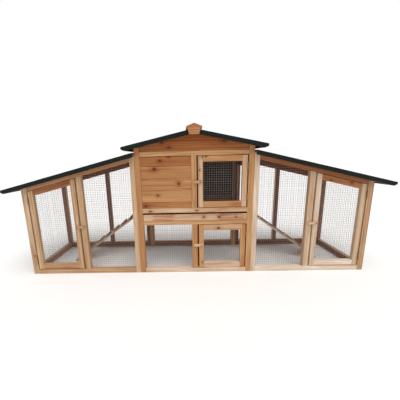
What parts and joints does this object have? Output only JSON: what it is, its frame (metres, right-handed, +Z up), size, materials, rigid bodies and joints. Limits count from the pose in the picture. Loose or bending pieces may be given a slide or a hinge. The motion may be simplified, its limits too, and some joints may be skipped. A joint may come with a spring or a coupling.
{
  "type": "rabbit hutch",
  "caption": "Long timber rabbit hutch: a gabled upper sleeping room over a mesh bay, flanked by lean-to mesh runs, with doors, turn buttons, ramps and a pull-out tray.",
  "frame": {"origin": "on the ground, at the middle of the footprint, with the middle of the ridge above it", "axes": "+X along the length towards the right-hand run as seen from the front, +Y from the door side to the back, +Z up"},
  "size_m": [2.1, 0.48, 0.826],
  "materials": {
    "house_timber": "stained fir, satin",
    "gable_timber": "darker stained fir, satin",
    "roof_boards": "stained fir, satin",
    "roof_felt": "mineral-faced felt, matt",
    "run_timber": "pale fir, matt",
    "wire_mesh": "galvanised wire",
    "turn_buttons": "pale fir, sanded",
    "tray_steel": "galvanised sheet",
    "hinge_steel": "zinc-plated steel"
  },
  "bodies": {
    "hutch_frame": {"door_stops": "house_timber", "hinge_pins": "hinge_steel", "hinge_plates": "hinge_steel", "house_front_rails": "house_timber", "house_front_siding": "house_timber", "house_front_stile": "house_timber", "house_gable_front": "gable_timber", "house_gable_rear": "gable_timber", "house_lower_mesh": "wire_mesh", "house_lower_post": "house_timber", "house_post_front_left": "house_timber", "house_post_front_right": "house_timber", "house_post_rear_left": "house_timber", "house_post_rear_right": "house_timber", "house_rear_rails": "house_timber", "house_rear_wall": "house_timber", "left_house_roof_board": "roof_boards", "left_house_roof_felt": "roof_felt", "left_run_end_rails": "run_timber", "left_run_front_frame": "run_timber", "left_run_mesh": "wire_mesh", "left_run_rear_frame": "run_timber", "left_run_roof_board": "roof_boards", "left_run_roof_felt": "roof_felt", "left_side_wall": "house_timber", "ridge_cap_blocks": "gable_timber", "ridge_cap_boards": "gable_timber", "right_house_roof_board": "roof_boards", "right_house_roof_felt": "roof_felt", "right_run_end_rails": "run_timber", "right_run_front_frame": "run_timber", "right_run_mesh": "wire_mesh", "right_run_rear_frame": "run_timber", "right_run_roof_board": "roof_boards", "right_run_roof_felt": "roof_felt", "right_side_wall": "house_timber", "roof_edge_battens": "roof_boards", "tray_runners": "house_timber"},
    "upper_door": {"upper_door_frame": "house_timber", "upper_door_mesh": "wire_mesh", "upper_door_hardware": "hinge_steel"},
    "lower_door": {"lower_door_frame": "house_timber", "lower_door_mesh": "wire_mesh", "lower_door_hardware": "hinge_steel"},
    "right_run_door": {"right_run_door_frame": "run_timber", "right_run_door_mesh": "wire_mesh", "right_run_door_hardware": "hinge_steel"},
    "left_run_door": {"left_run_door_frame": "run_timber", "left_run_door_mesh": "wire_mesh", "left_run_door_hardware": "hinge_steel"},
    "upper_door_latch": {"upper_door_button": "turn_buttons"},
    "lower_door_latch": {"lower_door_button": "turn_buttons"},
    "right_run_door_latch": {"right_run_door_button": "turn_buttons"},
    "left_run_door_latch": {"left_run_door_button": "turn_buttons"},
    "tray": {"tray_front": "house_timber", "tray_pan": "tray_steel"},
    "right_ramp_flap": {"right_ramp": "run_timber", "right_ramp_hinges": "hinge_steel"},
    "left_ramp_flap": {"left_ramp": "run_timber", "left_ramp_hinges": "hinge_steel"}
  },
  "joints": [
    {"name": "upper_door_hinge", "type": "hinge", "parent": "hutch_frame", "child": "upper_door", "pos_m": [0.286, -0.2035, 0.5255], "axis": [0, 0, 1], "range_deg": [0, 110]},
    {"name": "lower_door_hinge", "type": "hinge", "parent": "hutch_frame", "child": "lower_door", "pos_m": [0.286, -0.2035, 0.1565], "axis": [0, 0, 1], "range_deg": [0, 110]},
    {"name": "right_run_door_hinge", "type": "hinge", "parent": "hutch_frame", "child": "right_run_door", "pos_m": [0.924, -0.2035, 0.25], "axis": [0, 0, 1], "range_deg": [0, 110]},
    {"name": "left_run_door_hinge", "type": "hinge", "parent": "hutch_frame", "child": "left_run_door", "pos_m": [-0.924, -0.2035, 0.25], "axis": [0, 0, -1], "range_deg": [0, 110]},
    {"name": "upper_door_latch_turn", "type": "hinge", "parent": "upper_door", "child": "upper_door_latch", "pos_m": [0.0335, -0.2045, 0.528], "axis": [0, 1, 0], "range_deg": [-90, 90]},
    {"name": "lower_door_latch_turn", "type": "hinge", "parent": "lower_door", "child": "lower_door_latch", "pos_m": [0.0365, -0.2045, 0.166], "axis": [0, 1, 0], "range_deg": [-90, 90]},
    {"name": "right_run_door_latch_turn", "type": "hinge", "parent": "right_run_door", "child": "right_run_door_latch", "pos_m": [0.6665, -0.2045, 0.286], "axis": [0, 1, 0], "range_deg": [-90, 90]},
    {"name": "left_run_door_latch_turn", "type": "hinge", "parent": "left_run_door", "child": "left_run_door_latch", "pos_m": [-0.6665, -0.2045, 0.286], "axis": [0, 1, 0], "range_deg": [-90, 90]},
    {"name": "tray_slide", "type": "slide", "parent": "hutch_frame", "child": "tray", "axis": [0, -1, 0], "range_m": [0, 0.3]},
    {"name": "right_ramp_hinge", "type": "hinge", "parent": "hutch_frame", "child": "right_ramp_flap", "pos_m": [0.322, 0.015, 0.331], "axis": [0, -1, 0], "range_deg": [0, 50]},
    {"name": "left_ramp_hinge", "type": "hinge", "parent": "hutch_frame", "child": "left_ramp_flap", "pos_m": [-0.322, 0.015, 0.331], "axis": [0, 1, 0], "range_deg": [0, 50]}
  ]
}
